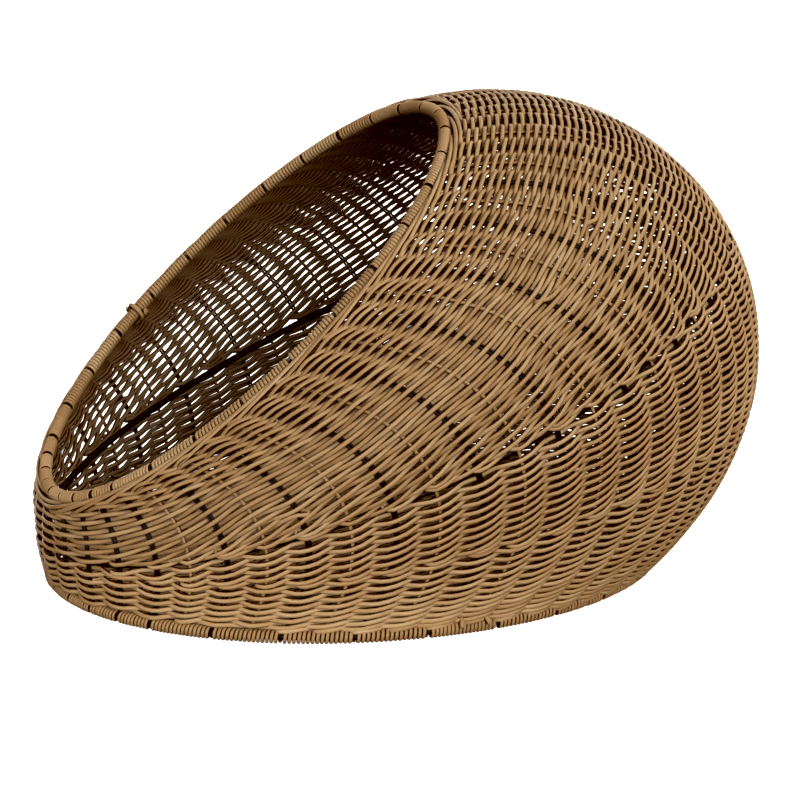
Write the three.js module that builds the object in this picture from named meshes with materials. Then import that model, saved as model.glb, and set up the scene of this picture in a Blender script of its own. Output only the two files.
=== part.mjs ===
// Wicker pet bed basket: a domed cave of woven round strand on a black steel wire frame.
//
// Millimetres, +Z up. The mouth leans open towards -Y and the closed back is towards +Y.
// The wall is a fan of ellipses. Each one joins the front lip profile to the roof profile, from
// the flat base oval (rise 0) up to the tilted mouth oval (rise 1). A place on the wall is
// (rise, bearing): bearing 0 is the back, 90 degrees is +X and 180 degrees is the front lip.

import * as THREE from 'three';
import { ParametricGeometry } from 'three/addons/geometries/ParametricGeometry.js';
import { mergeVertices } from 'three/addons/utils/BufferGeometryUtils.js';

// ---- driving dimensions ------------------------------------------------------------------

const WIDE_RIB_GAPS = 12;
const WIDE_RIB_GAP = THREE.MathUtils.degToRad(12.35);
const NARROW_RIB_GAPS = 4;
const RIB_RADIUS = 1.8;
const RIB_STEP = 30;
const RING_RADIUS = 2.5;
const HOOP_RADIUS = 3;
const WELD_GAP = 0.8;

const WRAP_INNER_RADIUS = 3.2;
const WRAP_OUTER_RADIUS = 5.2;
const WRAP_SLOT_HALF_WIDTH = 2.3;
const SOLE_HALF_ANGLE = THREE.MathUtils.degToRad(25);

const WALL_INNER_OFFSET = 3.4;
const WALL_OUTER_OFFSET = 5.6;
const WALL_STEPS = 9;
const BORDER_START = 6.2;
const BORDER_WIDTH = 8.2;
const BORDER_THICKNESS = 3.6;
const PIECE_GAP = 0.7;
const HOOP_SLIT_HALF_WIDTH = 2.2;

const BASE_Z = WRAP_OUTER_RADIUS * Math.cos(SOLE_HALF_ANGLE);
const BASE_FRONT_Y = -278;
const BASE_BACK_Y = 233.3;
const BASE_HALF_WIDTH = 221.5;

const MOUTH_FRONT = new THREE.Vector2(-279.7, 82.4);
const MOUTH_BACK = new THREE.Vector2(39.4, 369);
const MOUTH_HALF_WIDTH = 162.3;

const BACK_HANDLE = 249.4;
const BACK_SLOPE = THREE.MathUtils.degToRad(32.6);
const ROOF_HANDLE = 238.2;
const ROOF_SLOPE = THREE.MathUtils.degToRad(14.7);
const LIP_BULGE = 6;
const SIDE_BULGE = 54.7;
const SIDE_BULGE_LEAN = 44.7;

const HOOP_RISE = 0.48;
const HOOP_RISE_SWING = 0.06;

const FLOOR_WIRE_COUNT = 5;
const FLOOR_THICKNESS = 3;

// Ribs on each side from the back to the front: wide gaps as far as the lip, then narrow ones.
const HALF_RIB_GAPS = WIDE_RIB_GAPS + NARROW_RIB_GAPS;
const NARROW_RIB_GAP = (Math.PI - WIDE_RIB_GAPS * WIDE_RIB_GAP) / NARROW_RIB_GAPS;
const RIB_BEARINGS = Array.from({ length: 2 * HALF_RIB_GAPS }, (_, i) => {
  const gaps = Math.min(i, 2 * HALF_RIB_GAPS - i);
  const wide = Math.min(gaps, WIDE_RIB_GAPS);
  const bearing = wide * WIDE_RIB_GAP + (gaps - wide) * NARROW_RIB_GAP;
  return i <= HALF_RIB_GAPS ? bearing : 2 * Math.PI - bearing;
});

// ---- the wall surface --------------------------------------------------------------------

const baseBack = new THREE.Vector2(BASE_BACK_Y, BASE_Z);
const baseFront = new THREE.Vector2(BASE_FRONT_Y, BASE_Z);

// Roof profile in the middle plane, as (y, z): out from the base, over the dome, to the mouth.
const roofProfile = new THREE.CubicBezierCurve(
  baseBack,
  new THREE.Vector2(BACK_HANDLE, 0).rotateAround(new THREE.Vector2(), BACK_SLOPE).add(baseBack),
  new THREE.Vector2(ROOF_HANDLE, 0).rotateAround(new THREE.Vector2(), ROOF_SLOPE).add(MOUTH_BACK),
  MOUTH_BACK,
);

// Front lip profile in the middle plane, as (y, z): nearly upright, a little proud halfway up.
function lipProfile(rise) {
  const point = new THREE.Vector2().lerpVectors(baseFront, MOUTH_FRONT, rise);
  point.x -= LIP_BULGE * 4 * rise * (1 - rise);
  return point;
}

function wallHalfWidth(rise) {
  const bulge = SIDE_BULGE + SIDE_BULGE_LEAN * (2 * rise - 1);
  return THREE.MathUtils.lerp(BASE_HALF_WIDTH, MOUTH_HALF_WIDTH, rise) + bulge * 4 * rise * (1 - rise);
}

function wallPoint(rise, bearing) {
  const roof = roofProfile.getPoint(rise);
  const lip = lipProfile(rise);
  const middle = lip.clone().add(roof).multiplyScalar(0.5);
  const reach = roof.sub(lip).multiplyScalar(0.5 * Math.cos(bearing));
  return new THREE.Vector3(
    wallHalfWidth(rise) * Math.sin(bearing),
    middle.x + reach.x,
    middle.y + reach.y,
  );
}

// Outward unit normal of the wall, from small steps along it.
function wallNormal(rise, bearing) {
  const step = 1e-4;
  const low = Math.max(rise - step, 0);
  const high = Math.min(rise + step, 1);
  const up = wallPoint(high, bearing).sub(wallPoint(low, bearing));
  const along = wallPoint(rise, bearing + step).sub(wallPoint(rise, bearing - step));
  return up.cross(along).normalize();
}

function offsetPoint(rise, bearing, offset) {
  return wallPoint(rise, bearing).addScaledVector(wallNormal(rise, bearing), offset);
}

function hoopRise(bearing) {
  return HOOP_RISE + HOOP_RISE_SWING * Math.cos(bearing);
}

// The line of one rib up the wall, between two rises.
class Meridian extends THREE.Curve {
  constructor(bearing, low = 0, high = 1) {
    super();
    this.bearing = bearing;
    this.low = low;
    this.high = high;
  }

  getPoint(t, target = new THREE.Vector3()) {
    return target.copy(wallPoint(THREE.MathUtils.lerp(this.low, this.high, t), this.bearing));
  }

  // The rise reached after a length along the wall from the base, or back from the mouth.
  riseFromBase(length) {
    return this.getUtoTmapping(0, length);
  }

  riseFromMouth(length) {
    return this.getUtoTmapping(0, this.getLength() - length);
  }
}

// ---- geometry helpers --------------------------------------------------------------------

// A closed ring: sectionAt(bearing) gives the corners of its section, the same number each time.
function ringGeometry(sectionAt, cornerCount, bearings = RIB_BEARINGS) {
  const sections = bearings.map(sectionAt);
  const stationCount = sections.length;
  const surface = (u, v, target) => {
    const section = sections[Math.round(u * stationCount) % stationCount];
    target.copy(section[Math.round(v * cornerCount) % cornerCount]);
  };
  const geometry = new ParametricGeometry(surface, stationCount, cornerCount);
  geometry.deleteAttribute('normal');
  geometry.deleteAttribute('uv');
  const merged = mergeVertices(geometry, 1e-4);
  merged.computeVertexNormals();
  return merged;
}

function roundOutline(radius, sides) {
  const points = [];
  for (let i = 0; i < sides; i += 1) {
    const angle = 2 * Math.PI * i / sides;
    points.push(new THREE.Vector2(radius * Math.cos(angle), radius * Math.sin(angle)));
  }
  return points;
}

function rodGeometry(path, radius, steps) {
  const section = new THREE.Shape(roundOutline(radius, 6));
  return new THREE.ExtrudeGeometry(section, { steps, extrudePath: path, bevelEnabled: false });
}

// Axes across a ring of the wall: out along the ring's own plane, and up out of that plane.
function ringAxes(rise, bearing) {
  const step = 1e-4;
  const along = wallPoint(rise, bearing + step).sub(wallPoint(rise, bearing - step)).normalize();
  const lip = lipProfile(rise);
  const roof = roofProfile.getPoint(rise);
  const up = new THREE.Vector3(0, lip.y - roof.y, roof.x - lip.x).normalize();
  const out = new THREE.Vector3().crossVectors(up, along).negate().normalize();
  return { out, up };
}

// Which way a rib leaves the base ring (rise 0) or the mouth ring (rise 1).
function ribDirection(rise, bearing) {
  const inside = rise === 0 ? 0.02 : 0.98;
  return wallPoint(inside, bearing).sub(wallPoint(rise, bearing)).normalize();
}

// The length along a rib's line that clears a ring, for a piece of some half width, however much
// the line slants across the ring.
function lengthPastRing(rise, bearing, ringRadius, halfWidth) {
  const axes = ringAxes(rise, bearing);
  const alongRing = new THREE.Vector3().crossVectors(axes.out, axes.up);
  const slant = Math.asin(Math.abs(ribDirection(rise, bearing).dot(alongRing)));
  return ringRadius / Math.cos(slant) + halfWidth * Math.tan(slant);
}

function acrossRing(centre, axes, point) {
  return centre.clone().addScaledVector(axes.out, point.x).addScaledVector(axes.up, point.y);
}

function ringRod(rise, radius) {
  return ringGeometry((bearing) => {
    const centre = wallPoint(rise, bearing);
    const axes = ringAxes(rise, bearing);
    return roundOutline(radius, 6).map((point) => acrossRing(centre, axes, point));
  }, 6);
}

function arcCorners(radius, from, to, segments) {
  const corners = [];
  for (let i = 0; i <= segments; i += 1) {
    const angle = THREE.MathUtils.lerp(from, to, i / segments);
    corners.push(new THREE.Vector2(radius * Math.cos(angle), radius * Math.sin(angle)));
  }
  return corners;
}

// The strand wound round a ring, as a tube with a slot where the ribs come in. With a sole, its
// underside is one flat face, at right angles to the ring's up axis.
function ringWrap(rise, hasSole) {
  const outerHalf = Math.asin(WRAP_SLOT_HALF_WIDTH / WRAP_OUTER_RADIUS);
  const innerHalf = Math.asin(WRAP_SLOT_HALF_WIDTH / WRAP_INNER_RADIUS);
  const soleStart = 1.5 * Math.PI - SOLE_HALF_ANGLE;
  const soleEnd = 1.5 * Math.PI + SOLE_HALF_ANGLE;
  const sectionAt = (bearing) => {
    const centre = wallPoint(rise, bearing);
    const axes = ringAxes(rise, bearing);
    const rib = ribDirection(rise, bearing);
    const facing = Math.atan2(rib.dot(axes.up), rib.dot(axes.out));
    const fullTurn = facing + 2 * Math.PI;
    const outer = hasSole
      ? [
        ...arcCorners(WRAP_OUTER_RADIUS, facing + outerHalf, soleStart, 3),
        ...arcCorners(WRAP_OUTER_RADIUS, soleEnd, fullTurn - outerHalf, 3),
      ]
      : arcCorners(WRAP_OUTER_RADIUS, facing + outerHalf, fullTurn - outerHalf, 7);
    const inner = arcCorners(WRAP_INNER_RADIUS, fullTurn - innerHalf, facing + innerHalf, 5);
    return [...outer, ...inner].map((point) => acrossRing(centre, axes, point));
  };
  return ringGeometry(sectionAt, 14);
}

// A band of the wall between two rises, from its inner offset to its outer offset.
function wallBand(lowAt, highAt, inner, outer, steps) {
  const sectionAt = (bearing) => {
    const low = lowAt(bearing);
    const high = highAt(bearing);
    const face = (offset) => Array.from({ length: steps + 1 }, (_, i) => (
      offsetPoint(THREE.MathUtils.lerp(low, high, i / steps), bearing, offset)
    ));
    return [...face(inner), ...face(outer).reverse()];
  };
  return ringGeometry(sectionAt, 2 * (steps + 1));
}

// ---- materials ---------------------------------------------------------------------------

const steel = { color: 0x1b1a19, roughness: 0.45, metalness: 0.6 };
const strand = { color: 0xa37b52, roughness: 0.5, metalness: 0 };
const strandDark = { color: 0x8d6742, roughness: 0.55, metalness: 0 };

const basket = new THREE.Group();

function addPiece(name, geometry, finish) {
  const mesh = new THREE.Mesh(geometry, new THREE.MeshStandardMaterial(finish));
  mesh.name = name;
  basket.add(mesh);
  return mesh;
}

// ---- steel frame -------------------------------------------------------------------------

addPiece('base_ring', ringRod(0, RING_RADIUS), steel);
addPiece('mouth_ring', ringRod(1, RING_RADIUS), steel);

// The ribs stand on the base ring and end at the mouth ring, a weld's gap short of each.
RIB_BEARINGS.forEach((bearing, i) => {
  const whole = new Meridian(bearing);
  const weldRadius = RING_RADIUS + WELD_GAP;
  const rib = new Meridian(
    bearing,
    whole.riseFromBase(lengthPastRing(0, bearing, weldRadius, RIB_RADIUS)),
    whole.riseFromMouth(lengthPastRing(1, bearing, weldRadius, RIB_RADIUS)),
  );
  const steps = Math.max(4, Math.ceil(rib.getLength() / RIB_STEP));
  addPiece(`rib_${String(i + 1).padStart(2, '0')}`, rodGeometry(rib, RIB_RADIUS, steps), steel);
});

// The waist hoop lies against the inside of the ribs.
const hoopInset = RIB_RADIUS + HOOP_RADIUS + PIECE_GAP;
const hoopBearings = RIB_BEARINGS.flatMap((bearing, i) => {
  const next = i + 1 < RIB_BEARINGS.length ? RIB_BEARINGS[i + 1] : 2 * Math.PI;
  return [bearing, (bearing + next) / 2];
});
addPiece('waist_hoop', ringGeometry((bearing) => {
  const rise = hoopRise(bearing);
  const centre = offsetPoint(rise, bearing, -hoopInset);
  const out = wallNormal(rise, bearing);
  const step = 1e-3;
  const along = wallPoint(hoopRise(bearing + step), bearing + step)
    .sub(wallPoint(hoopRise(bearing - step), bearing - step)).normalize();
  const axes = { out, up: new THREE.Vector3().crossVectors(along, out).negate() };
  return roundOutline(HOOP_RADIUS, 6).map((point) => acrossRing(centre, axes, point));
}, 6, hoopBearings), steel);

// Cross wires carry the woven floor.
const floorCentreY = (BASE_FRONT_Y + BASE_BACK_Y) / 2;
const floorHalfLength = (BASE_BACK_Y - BASE_FRONT_Y) / 2;
const wireInset = WRAP_OUTER_RADIUS + RIB_RADIUS + WELD_GAP;
for (let i = 1; i <= FLOOR_WIRE_COUNT; i += 1) {
  const reach = floorHalfLength - wireInset;
  const along = -reach + 2 * reach * i / (FLOOR_WIRE_COUNT + 1);
  const halfSpan = (BASE_HALF_WIDTH - wireInset) * Math.sqrt(1 - (along / reach) ** 2);
  const wire = new THREE.CylinderGeometry(RIB_RADIUS, RIB_RADIUS, 2 * halfSpan, 8);
  const mesh = addPiece(`floor_wire_${i}`, wire, steel);
  mesh.rotation.z = Math.PI / 2;
  mesh.position.set(0, floorCentreY + along, BASE_Z);
}

// ---- woven strand ------------------------------------------------------------------------

addPiece('base_ring_wrap', ringWrap(0, true), strandDark);
addPiece('mouth_rim_wrap', ringWrap(1, false), strand);

const borderEnd = BORDER_START + BORDER_WIDTH;
addPiece('rim_border', wallBand(
  (bearing) => new Meridian(bearing).riseFromMouth(borderEnd),
  (bearing) => new Meridian(bearing).riseFromMouth(BORDER_START),
  WALL_INNER_OFFSET,
  WALL_INNER_OFFSET + BORDER_THICKNESS,
  1,
), strandDark);

// The upper weave hangs from the border to the hoop line, the lower one rises to it.
addPiece('upper_weave', wallBand(
  (bearing) => {
    const line = new Meridian(bearing);
    const slit = HOOP_SLIT_HALF_WIDTH / line.getLength();
    return hoopRise(bearing) + slit;
  },
  (bearing) => new Meridian(bearing).riseFromMouth(borderEnd + PIECE_GAP),
  WALL_INNER_OFFSET,
  WALL_OUTER_OFFSET,
  WALL_STEPS,
), strand);

addPiece('lower_weave', wallBand(
  (bearing) => new Meridian(bearing).riseFromBase(
    lengthPastRing(0, bearing, WRAP_OUTER_RADIUS + PIECE_GAP, WALL_INNER_OFFSET),
  ),
  (bearing) => {
    const line = new Meridian(bearing);
    const slit = HOOP_SLIT_HALF_WIDTH / line.getLength();
    return hoopRise(bearing) - slit;
  },
  WALL_INNER_OFFSET,
  WALL_OUTER_OFFSET,
  WALL_STEPS,
), strand);

const floorInset = WRAP_OUTER_RADIUS + PIECE_GAP;
const floorOutline = new THREE.Shape().absellipse(
  0, floorCentreY, BASE_HALF_WIDTH - floorInset, floorHalfLength - floorInset, 0, 2 * Math.PI,
);
const floor = addPiece('floor_weave', new THREE.ExtrudeGeometry(
  floorOutline, { depth: FLOOR_THICKNESS, bevelEnabled: false, curveSegments: 20 },
), strand);
floor.position.z = BASE_Z + RIB_RADIUS + PIECE_GAP;

// ---- origin: centre of the footprint's box, on the surface that the basket stands on --------

const middle = new THREE.Box3().setFromObject(basket).getCenter(new THREE.Vector3());
basket.position.set(-middle.x, -middle.y, 0);

const part = new THREE.Group();
part.add(basket);

export default part;
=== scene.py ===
"""Wicker pet bed basket: round strand woven over the steel frame, on a pale floor in soft light."""

import math
from functools import lru_cache

import bpy
import numpy as np
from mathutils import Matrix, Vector


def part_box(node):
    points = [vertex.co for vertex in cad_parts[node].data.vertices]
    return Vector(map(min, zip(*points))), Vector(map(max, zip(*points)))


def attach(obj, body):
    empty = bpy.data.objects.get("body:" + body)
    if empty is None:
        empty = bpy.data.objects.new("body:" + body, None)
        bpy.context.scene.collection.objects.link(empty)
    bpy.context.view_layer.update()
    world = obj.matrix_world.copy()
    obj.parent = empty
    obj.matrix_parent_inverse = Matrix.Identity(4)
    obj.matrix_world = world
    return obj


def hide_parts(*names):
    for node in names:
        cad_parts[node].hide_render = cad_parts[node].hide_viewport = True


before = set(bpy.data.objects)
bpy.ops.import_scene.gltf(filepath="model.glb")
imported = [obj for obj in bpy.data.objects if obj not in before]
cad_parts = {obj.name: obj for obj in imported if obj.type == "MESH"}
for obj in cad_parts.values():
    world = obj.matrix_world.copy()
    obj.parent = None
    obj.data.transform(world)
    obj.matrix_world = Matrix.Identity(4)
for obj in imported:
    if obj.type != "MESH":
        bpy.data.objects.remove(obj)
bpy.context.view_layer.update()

# ---- dimensions, in metres, as the CAD model has them --------------------------------------

BASE_Z = 0.00471
BASE_FRONT_Y = -0.278
BASE_BACK_Y = 0.2333
BASE_HALF_WIDTH = 0.2215
MOUTH_FRONT = np.array([-0.2797, 0.0824])
MOUTH_BACK = np.array([0.0394, 0.369])
MOUTH_HALF_WIDTH = 0.1623
BACK_HANDLE = 0.2494
BACK_SLOPE = math.radians(32.6)
ROOF_HANDLE = 0.2382
ROOF_SLOPE = math.radians(14.7)
LIP_BULGE = 0.006
SIDE_BULGE = 0.0547
SIDE_BULGE_LEAN = 0.0447
HOOP_RISE = 0.48
HOOP_RISE_SWING = 0.06
HOOP_INSET = 0.0055
HOOP_RADIUS = 0.003
RING_RADIUS = 0.0025
WIDE_RIB_GAPS = 12
WIDE_RIB_GAP = 12.35
NARROW_RIB_GAPS = 4

# Rib bearings in degrees: on each side wide gaps from the back as far as the lip, then narrow ones.
NARROW_RIB_GAP = (180 - WIDE_RIB_GAPS * WIDE_RIB_GAP) / NARROW_RIB_GAPS
HALF_RIBS = np.concatenate([
    WIDE_RIB_GAP * np.arange(WIDE_RIB_GAPS), 180 - NARROW_RIB_GAP * np.arange(NARROW_RIB_GAPS, 0, -1)
])
RIBS = np.concatenate([HALF_RIBS, [180], 360 - HALF_RIBS[:0:-1]])

# A single strand stake stands in the middle of each wide gap. Rows pass ribs and stakes alike.
HALF_STRAND_STAKES = WIDE_RIB_GAP * (np.arange(WIDE_RIB_GAPS) + 0.5)
STRAND_STAKES = np.concatenate([HALF_STRAND_STAKES, 360 - HALF_STRAND_STAKES[::-1]])
STAKES = np.sort(np.concatenate([RIBS, STRAND_STAKES]))

# The frame's origin lies behind the base ring's centre by the same amount as in the CAD model.
base_low, base_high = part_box("base_ring")
SHIFT_Y = (base_low[1] + base_high[1]) / 2 - (BASE_FRONT_Y + BASE_BACK_Y) / 2

# ---- strand and weave ----------------------------------------------------------------------

STRAND_RADIUS = 0.0018
LOWER_STRAND_RADIUS = 0.00188
ROW_PITCH = 0.0033
LOWER_PITCH = 0.00302

# Strand stakes are single. Ribs are pairs of wires with a hair's gap in between.
STAKE_RADIUS = 0.0014
STAKE_END = 0.0035
WIRE_RADIUS = 0.0011
WIRE_GAP = 0.0001
UPRIGHT_STEP = 0.008

# Rows start this far up from the base ring's middle and stop this far short of the mouth ring's.
BASE_CLEAR = 0.0048
BORDER_END = 0.0115

# Rows pass this far out or in at a stake, and have this many points from one stake to the next.
OVER = 0.003
GAP_STEPS = 5

# A hairpin turn reaches past its stake, and the pair of rows draws together there.
TURN_REACH = 0.0072
TURN_SQUEEZE = 0.36
TURN_SPREAD = 0.35
HAIRPIN_POINTS = 9

# How far rows sag at the stakes and wander from their line: slowly, quickly and from stake to stake.
SAG = 0.0009
SLOW_WANDER = 0.00035
QUICK_WANDER = 0.0003
OWN_WANDER = 0.0002

random = np.random.default_rng(7)

# ---- the wall surface: a fan of ellipses from the base oval (rise 0) to the mouth (rise 1) ----


def direction(angle):
    return np.array([math.cos(angle), math.sin(angle)])


ROOF_POINTS = (
    np.array([BASE_BACK_Y, BASE_Z]),
    np.array([BASE_BACK_Y, BASE_Z]) + BACK_HANDLE * direction(BACK_SLOPE),
    MOUTH_BACK + ROOF_HANDLE * direction(ROOF_SLOPE),
    MOUTH_BACK,
)


def roof_profile(rise):
    t = rise[..., None]
    a, b, c, d = ROOF_POINTS
    return (1 - t) ** 3 * a + 3 * t * (1 - t) ** 2 * b + 3 * t * t * (1 - t) * c + t ** 3 * d


def lip_profile(rise):
    t = rise[..., None]
    line = (1 - t) * np.array([BASE_FRONT_Y, BASE_Z]) + t * MOUTH_FRONT
    return line - np.concatenate([LIP_BULGE * 4 * t * (1 - t), 0 * t], axis=-1)


def half_width(rise):
    bulge = SIDE_BULGE + SIDE_BULGE_LEAN * (2 * rise - 1)
    return BASE_HALF_WIDTH * (1 - rise) + MOUTH_HALF_WIDTH * rise + bulge * 4 * rise * (1 - rise)


def wall(rise, bearing):
    """Points of the wall. Bearings are in degrees: 0 is the back, 90 is +X, 180 is the front."""
    turn = np.radians(bearing)
    roof = roof_profile(rise)
    lip = lip_profile(rise)
    yz = (lip + roof) / 2 + (roof - lip) / 2 * np.cos(turn)[..., None]
    return np.stack([half_width(rise) * np.sin(turn), yz[..., 0] + SHIFT_Y, yz[..., 1]], axis=-1)


def unit(v):
    return v / np.maximum(np.linalg.norm(v, axis=-1, keepdims=True), 1e-12)


def wall_normal(rise, bearing):
    step = 1e-4
    up = wall(np.minimum(rise + step, 1), bearing) - wall(np.maximum(rise - step, 0), bearing)
    along = wall(rise, bearing + 0.01) - wall(rise, bearing - 0.01)
    return unit(np.cross(up, along))


RISES = np.linspace(0, 1, 161)


@lru_cache(maxsize=None)
def meridian(bearing):
    """Lengths along the wall from the base ring, at each of RISES."""
    points = wall(RISES, np.full(RISES.shape, float(bearing)))
    steps = np.linalg.norm(np.diff(points, axis=0), axis=1)
    return np.concatenate([[0], np.cumsum(steps)])


def rises_at(lengths, bearings):
    return np.array([
        np.interp(s, meridian(round(float(u) % 360, 3)), RISES) for s, u in zip(lengths, bearings)
    ])


def on_wall(lengths, bearings, offsets):
    """Points that lie some length up the wall and some way out of it, and the wall's normals."""
    rise = rises_at(lengths, bearings)
    normal = wall_normal(rise, bearings)
    return wall(rise, bearings) + normal * np.asarray(offsets)[..., None], normal


def total_length(bearing):
    return meridian(round(float(bearing) % 360, 3))[-1]


def degree_width(bearing):
    """How wide one degree of bearing is, halfway up the wall."""
    side, next_side = wall(np.array([0.5, 0.5]), np.array([bearing, bearing + 1]))
    return float(np.linalg.norm(side - next_side))


def hoop_length(bearing):
    rise = HOOP_RISE + HOOP_RISE_SWING * math.cos(math.radians(bearing))
    return float(np.interp(rise, RISES, meridian(round(float(bearing) % 360, 3))))


# ---- meshes --------------------------------------------------------------------------------


class TubeSet:
    """Gathers round strands into one mesh.

    Each vertex keeps its distance along the strand, its turn from the strand's inner side (0) to
    the outer side (0.5), and the strand's tone.
    """

    def __init__(self):
        self.points, self.faces, self.facts, self.count = [], [], [], 0

    def add(self, path, reference, radius, sides=8, closed=False, tone=None):
        path = np.asarray(path, float)
        tone = random.random() if tone is None else tone
        if closed:
            tangent = unit(np.roll(path, -1, axis=0) - np.roll(path, 1, axis=0))
        else:
            tangent = unit(np.gradient(path, axis=0))
        side = unit(np.cross(tangent, reference))
        out = np.cross(side, tangent)
        n = len(path)
        angle = 2 * math.pi * np.arange(sides) / sides + math.pi
        radii = np.broadcast_to(radius, (n,))[:, None, None]
        ring = path[:, None] + radii * (
            np.cos(angle)[None, :, None] * out[:, None] + np.sin(angle)[None, :, None] * side[:, None]
        )
        run = np.concatenate([[0], np.cumsum(np.linalg.norm(np.diff(path, axis=0), axis=1))])
        facts = np.stack([
            np.repeat(run[:, None], sides, axis=1),
            np.repeat(np.minimum(np.arange(sides), sides - np.arange(sides))[None] / sides, n, axis=0),
            np.full((n, sides), tone),
        ], axis=-1)
        last = n if closed else n - 1
        i = np.arange(last)[:, None] * sides
        j = (np.arange(last)[:, None] + 1) % n * sides
        a = np.arange(sides)[None]
        b = (a + 1) % sides
        quads = np.stack([i + a, i + b, j + b, j + a], axis=-1).reshape(-1, 4)
        parts = [quads]
        if not closed:
            # Four-sided faces close each cut end.
            strips = np.array([[0, k, k + 1, k + 2] for k in range(1, sides - 2, 2)])
            parts += [strips[:, ::-1], strips + (n - 1) * sides]
        self.faces.append(np.concatenate(parts) + self.count)
        self.points.append(ring.reshape(-1, 3))
        self.facts.append(facts.reshape(-1, 3))
        self.count += n * sides

    def build(self, name, material):
        points = np.concatenate(self.points)
        faces = np.concatenate(self.faces)
        mesh = bpy.data.meshes.new(name)
        mesh.vertices.add(len(points))
        mesh.vertices.foreach_set("co", points.ravel())
        mesh.loops.add(faces.size)
        mesh.loops.foreach_set("vertex_index", faces.ravel().astype(np.int32))
        mesh.polygons.add(len(faces))
        mesh.polygons.foreach_set("loop_start", np.arange(0, faces.size, 4, dtype=np.int32))
        mesh.polygons.foreach_set("use_smooth", np.ones(len(faces), bool))
        mesh.update(calc_edges=True)
        layer = mesh.attributes.new("strand", "FLOAT_VECTOR", "POINT")
        layer.data.foreach_set("vector", np.concatenate(self.facts).ravel().astype(np.float32))
        mesh.validate()
        mesh.materials.append(material)
        piece = bpy.data.objects.new(name, mesh)
        bpy.context.collection.objects.link(piece)
        return piece


# ---- materials -----------------------------------------------------------------------------

BLACK = (0.0035, 0.0032, 0.003)
STRAND_TONES = ((0.25, 0.158, 0.071), (0.335, 0.225, 0.115), (0.4, 0.3, 0.176))

# Painted shade: the strands' sides, in the creases between strands, are painted a deep warm brown, and
# their inner sides, which face into the basket, are painted darker.
PAINTED_CREASE_SHADE_TONES = ((0.08, 0.02, 0.001), (0.6, 0.42, 0.23), (1, 1, 1))
PAINTED_CREASE_SHADE_FROM = 0.08
PAINTED_CREASE_SHADE_TO = 0.44
PAINTED_INNER_CREASE_SHARE = 0.48
PAINTED_INNER_SHADE_FROM = 0.35
INNER_SHADE = 0.6

# Streaks are long in the strand's direction, and no two strands have the same ones.
STREAKS_ALONG = 30
STREAKS_AROUND = 7
STREAKS_APART = 97
STREAK_SHARE = 0.9
PATCH_SHARE = 0.55
PATCH_SHIFT = -0.48
OWN_TONE_SHARE = 0.5

# Noise is a scale and a detail, roughness a range, and bump a strength and a distance.
STREAK_NOISE = (1.6, 5)
PATCH_NOISE = (26, 2)
STRAND_ROUGHNESS = (0.48, 0.68)
STRAND_BUMP = (0.35, 0.0003)
STRAND_SHINE = 0.35
STEEL_NOISE = (900, 3)
STEEL_ROUGHNESS = (0.45, 0.62)
STEEL_BUMP = (0.2, 0.0001)
STEEL_SHINE = 0.3


class Nodes:
    """A new material's nodes. An input given as a socket is linked, and any other value is set."""

    def __init__(self, name):
        self.material = bpy.data.materials.new(name)
        self.material.use_nodes = True
        self.tree = self.material.node_tree
        self.shader = self.tree.nodes["Principled BSDF"]
        self.output = self.tree.nodes["Material Output"]

    def feed(self, node, inputs):
        for key, value in inputs.items():
            if isinstance(value, bpy.types.NodeSocket):
                self.tree.links.new(value, node.inputs[key])
            else:
                node.inputs[key].default_value = value

    def add(self, kind, inputs, **settings):
        node = self.tree.nodes.new(f"ShaderNode{kind}")
        for key, value in settings.items():
            setattr(node, key, value)
        self.feed(node, inputs)
        return node.outputs

    def math(self, operation, *values):
        return self.add("Math", dict(enumerate(values)), operation=operation)["Value"]

    def vector(self, operation, *values):
        return self.add("VectorMath", dict(enumerate(values)), operation=operation)["Vector"]

    def noise(self, vector, scale, detail):
        return self.add("TexNoise", {"Vector": vector, "Scale": scale, "Detail": detail})["Fac"]

    def spread(self, value, start, end, low, high, **settings):
        """Maps the value's range from start to end onto the range from low to high."""
        inputs = {"Value": value, "From Min": start, "From Max": end, "To Min": low, "To Max": high}
        return self.add("MapRange", inputs, **settings)["Result"]

    def ramp(self, factor, *colours):
        """Colours spaced evenly from factor 0 to factor 1."""
        node = self.tree.nodes.new("ShaderNodeValToRGB")
        self.feed(node, {"Fac": factor})
        elements = node.color_ramp.elements
        elements[0].color = (*colours[0], 1)
        elements[1].color = (*colours[-1], 1)
        for index, colour in enumerate(colours[1:-1], 1):
            elements.new(index / (len(colours) - 1)).color = (*colour, 1)
        return node.outputs["Color"]

    def bump(self, height, strength, distance):
        inputs = {"Height": height, "Strength": strength, "Distance": distance}
        self.feed(self.shader, {"Normal": self.add("Bump", inputs)["Normal"]})


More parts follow.
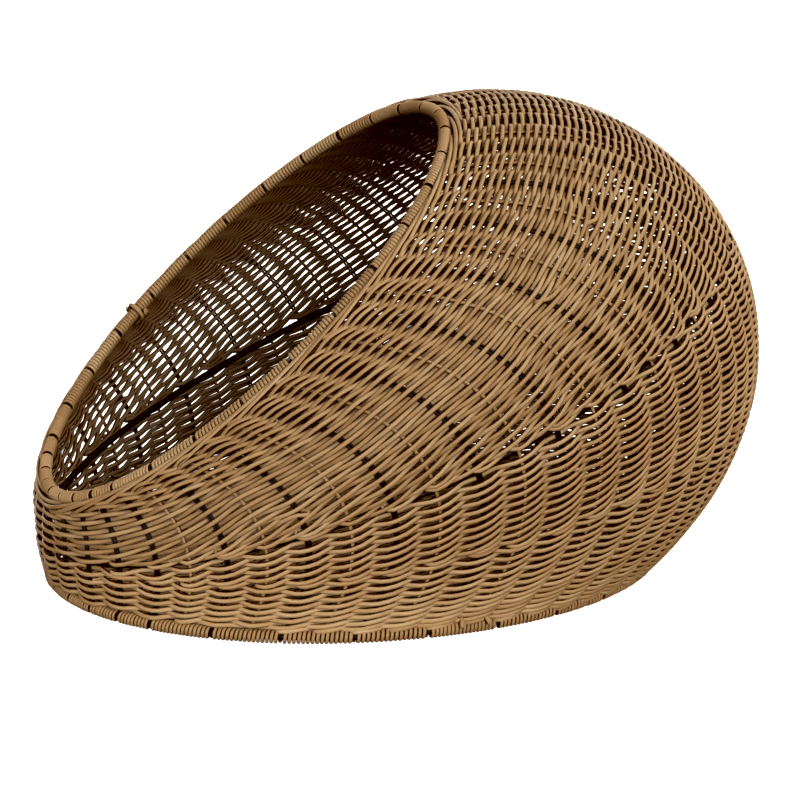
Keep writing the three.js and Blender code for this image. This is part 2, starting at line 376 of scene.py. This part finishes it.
def strand_material(name):
    """Satin extruded strand: each has its own tone and streaks, with painted crease shade at its sides
    and painted shade on its inner side.
    """
    nodes = Nodes(name)
    facts = nodes.add("Attribute", {}, attribute_name="strand")["Vector"]
    parts = nodes.add("SeparateXYZ", {0: facts})
    place = nodes.add("TexCoord", {})["Object"]
    streak_place = nodes.add("CombineXYZ", {
        "X": nodes.math("MULTIPLY", parts["X"], STREAKS_ALONG),
        "Y": nodes.math("MULTIPLY", parts["Y"], STREAKS_AROUND),
        "Z": nodes.math("MULTIPLY", parts["Z"], STREAKS_APART),
    })["Vector"]
    streaks = nodes.noise(streak_place, *STREAK_NOISE)
    patches = nodes.math("MULTIPLY_ADD", nodes.noise(place, *PATCH_NOISE), PATCH_SHARE, PATCH_SHIFT)
    own = nodes.math("MULTIPLY_ADD", parts["Z"], OWN_TONE_SHARE, patches)
    tone = nodes.ramp(nodes.math("MULTIPLY_ADD", streaks, STREAK_SHARE, own), *STRAND_TONES)

    # Painted shade: each strand's sides darken to a crease brown, more widely on its inner side.
    inward = nodes.math("COSINE", nodes.math("MULTIPLY", parts["Y"], 2 * math.pi))
    outward = nodes.math("MULTIPLY", inward, -1)
    painted_shade_facing = nodes.math("MAXIMUM", outward, nodes.math("MULTIPLY", inward, PAINTED_INNER_CREASE_SHARE))
    out_of_painted_crease_shade = nodes.spread(painted_shade_facing, PAINTED_CREASE_SHADE_FROM, PAINTED_CREASE_SHADE_TO, 0, 1, interpolation_type="SMOOTHSTEP")
    painted_crease_shaded = nodes.vector("MULTIPLY", tone, nodes.ramp(out_of_painted_crease_shade, *PAINTED_CREASE_SHADE_TONES))
    # Painted shade: the strand's inner side, facing into the basket, is darkened as a whole.
    shade = nodes.spread(inward, 0, PAINTED_INNER_SHADE_FROM, 1, INNER_SHADE)
    colour = nodes.add("VectorMath", {0: painted_crease_shaded, "Scale": shade}, operation="SCALE")["Vector"]
    nodes.feed(nodes.shader, {
        "Base Color": colour,
        "Roughness": nodes.spread(streaks, 0, 1, *STRAND_ROUGHNESS),
        "Specular IOR Level": nodes.math("MULTIPLY", out_of_painted_crease_shade, STRAND_SHINE),
    })
    nodes.bump(streaks, *STRAND_BUMP)
    return nodes.material


def steel_material(name):
    """Black powder coat: satin, with a fine orange-peel grain."""
    nodes = Nodes(name)
    grain = nodes.noise(nodes.add("TexCoord", {})["Object"], *STEEL_NOISE)
    nodes.feed(nodes.shader, {
        "Base Color": nodes.ramp(grain, BLACK, [2 * c for c in BLACK]),
        "Roughness": nodes.spread(grain, 0, 1, *STEEL_ROUGHNESS),
        "Specular IOR Level": STEEL_SHINE,
    })
    nodes.bump(grain, *STEEL_BUMP)
    return nodes.material


strand = strand_material("strand")
steel = steel_material("powder_coat")

# ---- the weave -----------------------------------------------------------------------------

# Upper rows follow the rim down to a seam. From each break's bearing forward, the lines they follow
# climb by CLIMB per degree.
SEAM_DEPTH = 0.133
SEAM_BREAK = 72
RIM_BREAK = 80
CLIMB = 0.0006

# The lower seam lies at a share of the hoop's height, and higher where the hoop is low.
LOWER_SEAM_SHARE = 0.52
LOWER_SEAM_LIFT = 0.009
LOWER_SEAM_FADE = 0.25
LOWER_SEAM_FROM = 0.057
LOWER_SEAM_LEAST = 1.6

# Tables of how the weave changes from the back to the front, by bearing in degrees.
HOOP_SLIT = ((60, 85, 108, 122), (0.0014, 0.0023, 0.0023, 0.0012))
UPPER_PITCH = ((45, 90, 130), (0.0032, 0.0035, ROW_PITCH))
UPPER_HOLD = ((40, 80), (0.6, 0.0))
LOWER_HOLD = 0.75

# The first rows above the base are beaten down tight: height up the wall and share of the pitch.
LOWER_PACKING = ((0, 0.026, 0.046), (0.74, 0.82, 1))


def folded(bearing):
    """The same bearing on the basket's +X half, from 0 to 180 degrees."""
    return min(bearing % 360, 360 - bearing % 360)


def hoop_slit(bearing):
    """Half of the slit that shows the hoop between the two weaves: widest at the sides."""
    return float(np.interp(folded(bearing), *HOOP_SLIT))


def hoop_top(bearing):
    return hoop_length(bearing) + hoop_slit(bearing)


def hoop_bottom(bearing):
    return hoop_length(bearing) - hoop_slit(bearing)


def base_line(bearing):
    return BASE_CLEAR


def rim_line(bearing):
    return total_length(bearing) - BORDER_END


def upper_guide(bearing):
    """Rows run level with the rim over the dome, then run out on it one by one to the front."""
    return rim_line(bearing) + CLIMB * max(folded(bearing) - RIM_BREAK, 0)


def upper_seam(bearing):
    """Where the rows that follow the rim meet the rows that end on the hoop."""
    depth = SEAM_DEPTH - CLIMB * max(folded(bearing) - SEAM_BREAK, 0)
    return max(total_length(bearing) - depth, hoop_top(bearing))


def upper_pitch(bearing):
    """The rows below the rim are packed on the crown and a little looser at the sides."""
    return float(np.interp(folded(bearing), *UPPER_PITCH))


def lower_seam(bearing):
    """Where the rows that follow the base meet the rows that follow the hoop."""
    height = hoop_length(bearing)
    lift = LOWER_SEAM_LIFT - LOWER_SEAM_FADE * (height - LOWER_SEAM_FROM)
    seam = LOWER_SEAM_SHARE * height + max(lift, 0)
    too_near = hoop_bottom(bearing) - seam < LOWER_SEAM_LEAST * ROW_PITCH
    return hoop_bottom(bearing) if too_near else seam


def even_pitch(bearing):
    return ROW_PITCH


def lower_pitch(bearing):
    return LOWER_PITCH


def stake_bearing(places):
    """The bearing at a place counted in stakes, which may run on past a full turn."""
    count = len(STAKES)
    turns = np.floor(places / count)
    return np.interp(places - turns * count, np.arange(count + 1), np.append(STAKES, 360)) + 360 * turns


def upper_hold(bearing):
    """Upper rows bend sharply round the stakes on the crown, and only gently at the sides."""
    return np.interp(np.abs((np.asarray(bearing) + 180) % 360 - 180), *UPPER_HOLD)


def lower_hold(bearing):
    return LOWER_HOLD


def over_under(places, sign, hold):
    """Rows lie over and under the stakes; with more hold they cross over more quickly between."""
    wave = np.cos(math.pi * places)
    held = hold(stake_bearing(places))
    return sign * OVER * wave * (1 + held - held * wave ** 2)


def between_stakes(values, closed):
    """A smooth run through the values at the stakes, with GAP_STEPS points to each gap."""
    values = np.asarray(values, float)
    if closed:
        padded = np.concatenate([values[-1:], values, values[:2]])
        gaps = len(values)
    else:
        padded = np.concatenate([values[:1], values, values[-1:]])
        gaps = len(values) - 1
    t = np.arange(GAP_STEPS) / GAP_STEPS
    a, b, c, d = (padded[k:k + gaps, None] for k in range(4))
    curve = b + 0.5 * t * (c - a + t * (2 * a - 5 * b + 4 * c - d + t * (3 * (b - c) + d - a)))
    curve = curve.ravel()
    return curve if closed else np.append(curve, values[-1])


def sagging(places, sag):
    """How far rows hang down at the stakes and rise between them."""
    return -sag * np.cos(2 * math.pi * places)


def closed_ring(tubes, lengths, sign, style):
    places = np.arange(len(STAKES) * GAP_STEPS) / GAP_STEPS
    sag, hold, radius = style
    lengths = between_stakes(lengths, True) + sagging(places, sag)
    path, normal = on_wall(lengths, stake_bearing(places), over_under(places, sign, hold))
    tubes.add(path, normal, radius, closed=True)


def hairpin(low, high, place, ahead):
    """The turn round a stake from the row below to the row above."""
    bearing = float(stake_bearing(place))
    swing = np.linspace(0, math.pi, HAIRPIN_POINTS)[1:-1]
    bearings = bearing + ahead * TURN_REACH / degree_width(bearing) * np.sin(swing)
    lengths = (low + high) / 2 - (high - low) / 2 * np.cos(swing) * (1 + TURN_SPREAD * np.sin(swing))
    return lengths, bearings, OVER * math.cos(math.pi * place) * np.cos(swing)


def closed_pair(tubes, low, high, start, style):
    """Two rows between two stakes, joined by a hairpin at each end."""
    sag, hold, radius = style
    low = between_stakes(low, False)
    high = between_stakes(high, False)
    places = start + np.arange(len(low)) / GAP_STEPS
    bearings = stake_bearing(places)
    low = low + sagging(places, sag)
    high = high + sagging(places, sag)
    far, far_turn, far_over = hairpin(low[-1], high[-1], places[-1], 1)
    near, near_turn, near_over = hairpin(low[0], high[0], places[0], -1)
    lengths = np.concatenate([low, far, high[::-1], near[::-1]])
    turns = np.concatenate([bearings, far_turn, bearings[::-1], near_turn[::-1]])
    wave = over_under(places, 1, hold)
    offsets = np.concatenate([wave, far_over, -wave[::-1], near_over[::-1]])
    path, normal = on_wall(lengths, turns, offsets)
    tubes.add(path, normal, radius, closed=True)


def runs_of(alive):
    """Stretches of neighbouring stakes that are alive, as (start, end), counted round the ring."""
    if not any(alive):
        return []
    count = len(alive)
    first_gap = list(alive).index(False)
    runs, start = [], None
    for step in range(first_gap, first_gap + count + 1):
        if alive[step % count]:
            start = step if start is None else start
        elif start is not None:
            runs.append((start, step - 1))
            start = None
    return runs


def pair_runs(guide, low, high, pitch):
    """For each pair of rows of a family, the stretches where it fits between two lines."""
    lows, highs, guides = (np.array([f(u) for u in STAKES]) for f in (low, high, guide))
    pair = 2 * np.array([pitch(u) for u in STAKES])
    first = math.floor(np.min((lows - guides) / pair)) - 1
    last = math.ceil(np.max((highs - guides) / pair)) + 1
    for index in range(first, last):
        middle = guides + pair * (index + 0.5)
        alive = (middle >= lows) & (middle <= highs) & (highs - lows >= 0.5 * pair)
        if all(alive):
            yield [(0, len(STAKES))], pair
            continue
        runs = [(start, end) for start, end in runs_of(alive) if end - start >= 2]
        thickness = np.zeros(len(STAKES))
        for start, end in runs:
            thickness[np.arange(start, end + 1) % len(STAKES)] = 1
            thickness[np.array([start, end]) % len(STAKES)] = TURN_SQUEEZE
        if runs:
            yield runs, pair * thickness


def even_packing(height):
    return np.ones_like(height)


def lower_packing(height):
    return np.interp(height, *LOWER_PACKING)


def weave(bottom, top, packing, style, *families):
    """Stacks families of rows to fill the wall between two lines, and gives functions to draw them.

    The two rows of a pair lie at a quarter and three quarters of its thickness.
    """
    drawers = []
    bottoms, tops = (np.array([f(u) for u in STAKES]) for f in (bottom, top))
    pairs = [pair for family in families for pair in pair_runs(*family)]
    thickness = np.array([t for _, t in pairs])
    thickness *= (tops - bottoms) / thickness.sum(axis=0)
    thickness *= packing(np.cumsum(thickness, axis=0))
    thickness *= (tops - bottoms) / thickness.sum(axis=0)
    starts = bottoms + np.cumsum(thickness, axis=0) - thickness
    for index, (runs, _) in enumerate(pairs):
        wander = SLOW_WANDER * np.sin(5 * np.radians(STAKES) + 0.46 * index)
        wander += QUICK_WANDER * np.sin(11 * np.radians(STAKES) - 0.62 * index)
        wander += OWN_WANDER * random.standard_normal(len(STAKES))
        lower = starts[index] + 0.25 * thickness[index] + wander
        upper = starts[index] + 0.75 * thickness[index] + wander
        for start, end in runs:
            if end - start == len(STAKES):
                drawers.append(lambda t, rows=lower: closed_ring(t, rows, 1, style))
                drawers.append(lambda t, rows=upper: closed_ring(t, rows, -1, style))
                continue
            span = np.arange(start, end + 1) % len(STAKES)
            drawers.append(
                lambda t, a=lower[span], b=upper[span], s=start: closed_pair(t, a, b, s, style)
            )
    return drawers


def woven_pieces(name, drawers, parts, *nodes):
    share = math.ceil(len(drawers) / parts)
    for part in range(parts):
        tubes = TubeSet()
        for draw in drawers[part * share:(part + 1) * share]:
            draw(tubes)
        piece = tubes.build(f"{name}_{part + 1}", strand)
        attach(piece, "root")
        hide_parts(*nodes)


upper_families = (
    (upper_seam, hoop_top, upper_seam, even_pitch),
    (upper_guide, upper_seam, rim_line, upper_pitch),
)
lower_families = (
    (lower_seam, base_line, lower_seam, lower_pitch),
    (hoop_bottom, lower_seam, hoop_bottom, lower_pitch),
)
upper_style = (0, upper_hold, STRAND_RADIUS)
lower_style = (SAG, lower_hold, LOWER_STRAND_RADIUS)
upper_rows = weave(hoop_top, rim_line, even_packing, upper_style, *upper_families)
lower_rows = weave(base_line, hoop_bottom, lower_packing, lower_style, *lower_families)
woven_pieces("upper_rows", upper_rows, 4, "upper_weave")
woven_pieces("lower_rows", lower_rows, 4, "lower_weave")

# ---- ribs and stakes -----------------------------------------------------------------------


def uprights(tubes, bearing, radius, start, end, ways):
    """Thin uprights up the wall at one bearing: one, or two side by side."""
    count = max(8, math.ceil((total_length(bearing) - start - end) / UPRIGHT_STEP))
    lengths = np.linspace(start, total_length(bearing) - end, count)
    bearings = np.full(count, float(bearing))
    path, normal = on_wall(lengths, bearings, np.zeros(count))
    side = unit(np.cross(unit(np.gradient(path, axis=0)), normal))
    for way in ways:
        tubes.add(path + way * (radius + WIRE_GAP) * side, normal, radius)


for rib, bearing in enumerate(RIBS):
    tubes = TubeSet()
    uprights(tubes, bearing, WIRE_RADIUS, RING_RADIUS, RING_RADIUS, (-1, 1))
    piece = tubes.build(f"rib_wires_{rib + 1:02d}", steel)
    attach(piece, "root")
    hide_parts(f"rib_{rib + 1:02d}")

tubes = TubeSet()
for bearing in STRAND_STAKES:
    uprights(tubes, bearing, STAKE_RADIUS, STAKE_END, STAKE_END, (0,))
stakes = tubes.build("strand_stakes", strand)
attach(stakes, "root")

# ---- waist hoop ----------------------------------------------------------------------------

HOOP_STEP = 1.5
HOOP_SIDES = 12

bearings = np.arange(0, 360, HOOP_STEP)
hoop_rises = HOOP_RISE + HOOP_RISE_SWING * np.cos(np.radians(bearings))
hoop_normals = wall_normal(hoop_rises, bearings)
tubes = TubeSet()
hoop_path = wall(hoop_rises, bearings) - HOOP_INSET * hoop_normals
tubes.add(hoop_path, hoop_normals, HOOP_RADIUS, HOOP_SIDES, closed=True)
hoop = tubes.build("waist_hoop_rod", steel)
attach(hoop, "root")
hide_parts("waist_hoop")

# ---- wound rings and twisted border --------------------------------------------------------

WRAP_STRAND = 0.0014
RIM_WRAP_PITCH = 0.0029
RIM_LOOSENESS = 0.02
RIM_PALENESS = 1
BASE_WRAP_PITCH = 0.0031
BASE_LOOSENESS = 0.12
# The base ring's turns take only the darkest tones: painted shade low down on the basket.
BASE_SHADE_PALENESS = 0.1
WRAP_GAP = (0.0008, 0.0019)
WRAP_SIDES = 6
TURN_STEPS = 12


def ring_frame(rise, bearings):
    """Centres of a ring of the wall with its outward and upward axes."""
    rises = np.full(bearings.shape, float(rise))
    centre = wall(rises, bearings)
    along = unit(wall(rises, bearings + 0.05) - wall(rises, bearings - 0.05))
    lip = lip_profile(np.array([float(rise)]))[0]
    roof = roof_profile(np.array([float(rise)]))[0]
    up = unit(np.array([0, lip[1] - roof[1], roof[0] - lip[0]]))
    out = unit(np.cross(along, up))
    return centre, out, up


def arms(angle, out, up):
    """Directions from a ring's middle: outward at angle 0 and upward at a quarter turn."""
    return np.cos(angle)[:, None] * out + np.sin(angle)[:, None] * up


def wound_ring(name, rise, pitch, looseness, paleness, node):
    """Strand wound round a ring, with a short break of bare black rod at each rib.

    Looseness is how much the turns vary. With little paleness all the strands are dark.
    """
    tubes = TubeSet()
    grid = np.arange(0, 360.01, 0.25)
    centre, _, _ = ring_frame(rise, grid)
    lengths = np.concatenate([[0], np.cumsum(np.linalg.norm(np.diff(centre, axis=0), axis=1))])
    ribs = np.interp(np.append(RIBS, 360), grid, lengths)
    gaps = random.uniform(*WRAP_GAP, len(RIBS) + 1)
    for start, end in zip(ribs[:-1] + gaps[:-1], ribs[1:] - gaps[1:]):
        turns = round((end - start) / pitch * random.uniform(1 - looseness, 1))
        steps = np.linspace(0, 1, turns * TURN_STEPS + 1)
        bearings = np.interp(start + (end - start) * steps, lengths, grid)
        middle, out, up = ring_frame(rise, bearings)
        angle = 2 * math.pi * turns * steps - math.pi / 2
        slack = looseness * WRAP_STRAND * random.standard_normal(turns + 1)
        reach = RING_RADIUS + WRAP_STRAND + np.interp(turns * steps, np.arange(turns + 1), slack)
        path = middle + reach[:, None] * arms(angle, out, up)
        path[:, 2] = np.maximum(path[:, 2], WRAP_STRAND)
        tone = paleness * random.random()
        tubes.add(path, unit(path - middle), WRAP_STRAND, WRAP_SIDES, tone=tone)
    piece = tubes.build(name, strand)
    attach(piece, "root")
    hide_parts(node)


wound_ring(
    "mouth_wrap_turns", 1, RIM_WRAP_PITCH, RIM_LOOSENESS, RIM_PALENESS, "mouth_rim_wrap"
)
wound_ring(
    "base_wrap_turns", 0, BASE_WRAP_PITCH, BASE_LOOSENESS, BASE_SHADE_PALENESS, "base_ring_wrap"
)

# Each border strand comes out near the rim, arches over its neighbours and goes in again lower
# down, BORDER_SPAN degrees further round.
BORDER_STRANDS = 30
BORDER_START = 0.3
BORDER_SPAN = 33
BORDER_POINTS = 34
BORDER_NEAR = 0.0048
BORDER_FAR = 0.0148
BORDER_ROOT = 0.0015
BORDER_ARCH = 0.0058
BORDER_ROUNDNESS = 0.6

tubes = TubeSet()
for index in range(BORDER_STRANDS):
    share = np.linspace(0, 1, BORDER_POINTS)
    bearings = (index + BORDER_START) * 360 / BORDER_STRANDS + BORDER_SPAN * share
    from_rim = BORDER_NEAR + (BORDER_FAR - BORDER_NEAR) * share
    lengths = np.array([total_length(u) for u in bearings]) - from_rim
    offsets = BORDER_ARCH * np.sin(math.pi * share) ** BORDER_ROUNDNESS - BORDER_ROOT
    path, normal = on_wall(lengths, bearings, offsets)
    tubes.add(path, normal, STRAND_RADIUS)
border = tubes.build("border_strands", strand)
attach(border, "root")
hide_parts("rim_border")

# ---- loose ends ----------------------------------------------------------------------------

TAIL_COUNT = 26
TAIL_POINTS = 8
TAIL_BEARINGS = (20, 340)
TAIL_HEIGHTS = (0.12, 0.86)
TAIL_LENGTH = (0.008, 0.014)
TAIL_CLIMB = (-0.004, 0.006)
TAIL_ROOT = 0.002
TAIL_LIFT = (0.004, 0.0075)
TAIL_CURL = 1.4

# Bearings and spans of the knots are in degrees.
KNOT_POINTS = 40
RIM_KNOT = 255
RIM_KNOT_SPAN = 1.8
RIM_KNOT_TURNS = 1.7
HANGING_POINTS = 12
HANGING_TOP = 0.004
HANGING_DROP = 0.034
HANGING_INSET = 0.0075
HANGING_LEAN = 0.001
HANGING_SWAY = 5
BASE_KNOT = 88.5
BASE_KNOT_SPAN = 5


def tail(tubes, bearing, length, reach, lift):
    """A cut strand end that comes out between two rows and stands off the wall a little."""
    share = np.linspace(0, 1, TAIL_POINTS)
    bearings = bearing + reach / degree_width(bearing) * share
    lengths = length + random.uniform(*TAIL_CLIMB) * share
    path, normal = on_wall(lengths, bearings, lift * share ** TAIL_CURL - TAIL_ROOT)
    tubes.add(path, normal, STRAND_RADIUS)


tubes = TubeSet()
for _ in range(TAIL_COUNT):
    bearing = random.uniform(*TAIL_BEARINGS)
    length = total_length(bearing) * random.uniform(*TAIL_HEIGHTS)
    reach = random.choice((-1, 1)) * random.uniform(*TAIL_LENGTH)
    tail(tubes, bearing, length, reach, random.uniform(*TAIL_LIFT))

# A spare end is knotted round the rim on the left and hangs down inside.
knot_arm = RING_RADIUS + 2 * WRAP_STRAND + STRAND_RADIUS
share = np.linspace(0, 1, KNOT_POINTS)
middle, out, up = ring_frame(1, RIM_KNOT + RIM_KNOT_SPAN * share)
angle = 2 * math.pi * RIM_KNOT_TURNS * share + math.pi / 2
knot = middle + knot_arm * arms(angle, out, up)
share = np.linspace(0, 1, HANGING_POINTS)
heights = total_length(RIM_KNOT) - HANGING_TOP - HANGING_DROP * share
bearings = RIM_KNOT + RIM_KNOT_SPAN - HANGING_SWAY * share
inside, _ = on_wall(heights, bearings, HANGING_LEAN * share - HANGING_INSET)
path = np.concatenate([knot, inside])
tubes.add(path, unit(path - path.mean(axis=0)), STRAND_RADIUS)

# Another is bent once round the base ring.
share = np.linspace(0, 1, KNOT_POINTS)
middle, out, up = ring_frame(0, BASE_KNOT + BASE_KNOT_SPAN * share)
angle = math.pi * (0.9 - 1.25 * np.sin(math.pi * share))
path = middle + knot_arm * arms(angle, out, up)
path[:, 2] = np.maximum(path[:, 2], STRAND_RADIUS)
tubes.add(path, unit(path - middle), STRAND_RADIUS)
loose = tubes.build("loose_ends", strand)
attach(loose, "root")

# ---- woven floor ---------------------------------------------------------------------------

FLOOR_STRAND = 0.0017
FLOOR_PITCH = 0.0034
FLOOR_STAKE_GAP = 0.0273
FLOOR_OVER = 0.0031
FLOOR_INSET = 0.0066
FLOOR_LIFT = 0.0003
FLOOR_STEP = 0.0068
FLOOR_SIDES = 6

floor_low, floor_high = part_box("floor_weave")
wire_low, wire_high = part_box("floor_wire_3")
mat_z = (wire_low[2] + wire_high[2]) / 2 + FLOOR_LIFT
mat_y = (floor_low[1] + floor_high[1]) / 2
half_x = BASE_HALF_WIDTH - FLOOR_INSET
half_y = (BASE_BACK_Y - BASE_FRONT_Y) / 2 - FLOOR_INSET

tubes = TubeSet()
up = np.array([0, 0, 1.0])
row_count = int(half_x / FLOOR_PITCH)
for row in range(-row_count, row_count + 1):
    x = row * FLOOR_PITCH
    reach = half_y * math.sqrt(max(1 - (x / half_x) ** 2, 0)) - FLOOR_STRAND
    if reach < FLOOR_STAKE_GAP:
        continue
    ys = np.linspace(-reach, reach, max(9, math.ceil(2 * reach / FLOOR_STEP)))
    wave = FLOOR_OVER * np.cos(math.pi * ys / FLOOR_STAKE_GAP) * (1 if row % 2 else -1)
    path = np.stack([np.full(ys.shape, x), mat_y + ys, mat_z + wave], axis=-1)
    tubes.add(path, np.broadcast_to(up, path.shape), FLOOR_STRAND, FLOOR_SIDES)
floor_rows = tubes.build("floor_rows", strand)
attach(floor_rows, "root")
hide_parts("floor_weave")

# The rods that stay as the CAD model has them get the powder coat.
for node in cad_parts:
    rod = bpy.data.objects.get(node)
    if rod is not None and (node.startswith("floor_wire") or node in ("base_ring", "mouth_ring")):
        rod.data.materials.clear()
        rod.data.materials.append(steel)

# ---- floor, light and camera ---------------------------------------------------------------

AZIMUTH = math.radians(65)
ELEVATION = math.radians(12.5)
DISTANCE = 1.6
LENS = 92.3
SENSOR = 36
AIM = Vector((0.0961, -0.0273 + SHIFT_Y, 0.1513))

STAGE_REACH = 7.5
STAGE_TONE = (0.86, 0.86, 0.86, 1)
STAGE_GLOW = 0.8
# Under the basket the floor's glow falls to a painted shadow.
STAGE_SHADE = 0.01
SHADE_EDGE = (0.98, 1.02)
BACKDROP_RADIUS = 8
CARD_SPREAD = 50


def view_direction(azimuth, elevation):
    return Vector((
        math.sin(azimuth) * math.cos(elevation),
        -math.cos(azimuth) * math.cos(elevation),
        math.sin(elevation),
    ))


def stage_floor():
    """A pale floor that throws no light back at the basket, with a painted shadow under it where its
    glow falls away.
    """
    mesh = bpy.data.meshes.new("stage_floor")
    corners = [(x * STAGE_REACH, y * STAGE_REACH, 0) for x, y in ((-1, -1), (1, -1), (1, 1), (-1, 1))]
    mesh.from_pydata(corners, [], [(0, 1, 2, 3)])
    nodes = Nodes("stage_floor")
    from_middle = nodes.vector("SUBTRACT", nodes.add("TexCoord", {})["Object"], (0, mat_y, 0))
    in_ovals = nodes.vector("MULTIPLY", from_middle, (1 / half_x, 1 / half_y, 0))
    how_far = nodes.add("VectorMath", {0: in_ovals}, operation="LENGTH")["Value"]
    nodes.feed(nodes.shader, {
        "Base Color": STAGE_TONE,
        "Roughness": 0.9,
        "Emission Color": (1, 1, 1, 1),
        "Emission Strength": nodes.spread(how_far, *SHADE_EDGE, STAGE_SHADE, STAGE_GLOW),
    })
    mesh.materials.append(nodes.material)
    floor = bpy.data.objects.new("stage_floor", mesh)
    bpy.context.collection.objects.link(floor)
    floor.visible_diffuse = False
    floor.visible_glossy = False


def low_card(name, centre, azimuth, width, height, power):
    """A low upright card of light, seen only by the basket."""
    lamp = bpy.data.lights.new(name, "AREA")
    lamp.shape = "RECTANGLE"
    lamp.size = width
    lamp.size_y = height
    lamp.energy = power
    lamp.spread = math.radians(CARD_SPREAD)
    holder = bpy.data.objects.new(name, lamp)
    bpy.context.collection.objects.link(holder)
    holder.location = centre
    toward = view_direction(math.radians(azimuth), 0)
    holder.rotation_euler = toward.to_track_quat("Z", "Y").to_euler()
    holder.visible_camera = False


def sun_light(name, azimuth, elevation, softness, strength):
    lamp = bpy.data.lights.new(name, "SUN")
    lamp.angle = math.radians(softness)
    lamp.energy = strength
    holder = bpy.data.objects.new(name, lamp)
    bpy.context.collection.objects.link(holder)
    toward = view_direction(math.radians(azimuth), math.radians(elevation))
    holder.rotation_euler = (-toward).to_track_quat("-Z", "Y").to_euler()


def world_light(colour, strength):
    world = bpy.data.worlds.new("studio")
    world.use_nodes = True
    world.node_tree.nodes["Background"].inputs["Color"].default_value = (*colour, 1)
    world.node_tree.nodes["Background"].inputs["Strength"].default_value = strength
    bpy.context.scene.world = world


def backdrop():
    """A plain white surround that is seen but lights nothing."""
    bpy.ops.mesh.primitive_cylinder_add(
        vertices=96, radius=BACKDROP_RADIUS, depth=2 * BACKDROP_RADIUS
    )
    surround = bpy.context.object
    surround.name = "backdrop"
    nodes = Nodes("backdrop")
    nodes.feed(nodes.output, {"Surface": nodes.add("Emission", {"Strength": 1})["Emission"]})
    surround.data.materials.append(nodes.material)
    surround.visible_diffuse = False
    surround.visible_glossy = False
    surround.visible_transmission = False
    surround.visible_shadow = False


def camera():
    lens = bpy.data.cameras.new("camera")
    lens.lens = LENS
    lens.sensor_width = SENSOR
    holder = bpy.data.objects.new("camera", lens)
    bpy.context.collection.objects.link(holder)
    toward = view_direction(AZIMUTH, ELEVATION)
    holder.location = AIM + DISTANCE * toward
    holder.rotation_euler = (-toward).to_track_quat("-Z", "Y").to_euler()
    bpy.context.scene.camera = holder


def warm_grade(view):
    """A firm contrast in which the shadows turn a deep warm brown."""
    view.view_transform = "Standard"
    view.exposure = 0.3
    view.gamma = 0.8
    view.use_curve_mapping = True
    view.curve_mapping.black_level = (0, 0.011, 0.014)
    view.curve_mapping.update()


stage_floor()
backdrop()
world_light((1, 0.5, 0.18), 0.085)

# Each sun has an azimuth, an elevation and a softness in degrees, then a strength.
sun_light("low_side", 84, 5, 28, 1.1)
sun_light("side", 88, 20, 30, 1.75)
sun_light("back_side", 128, 28, 40, 0.2)
sun_light("back_top", 172, 50, 40, 1.35)
sun_light("top", 75, 62, 50, 0.75)
sun_light("left", 268, 10, 30, 1.5)
sun_light("back_left", 235, 26, 40, 1.1)
sun_light("front", 8, 8, 36, 0.85)
low_card("front_card", (0.2, -0.6, 0.04), 25, 0.7, 0.06, 0.14)
camera()
warm_grade(bpy.context.scene.view_settings)

bpy.context.view_layer.update()
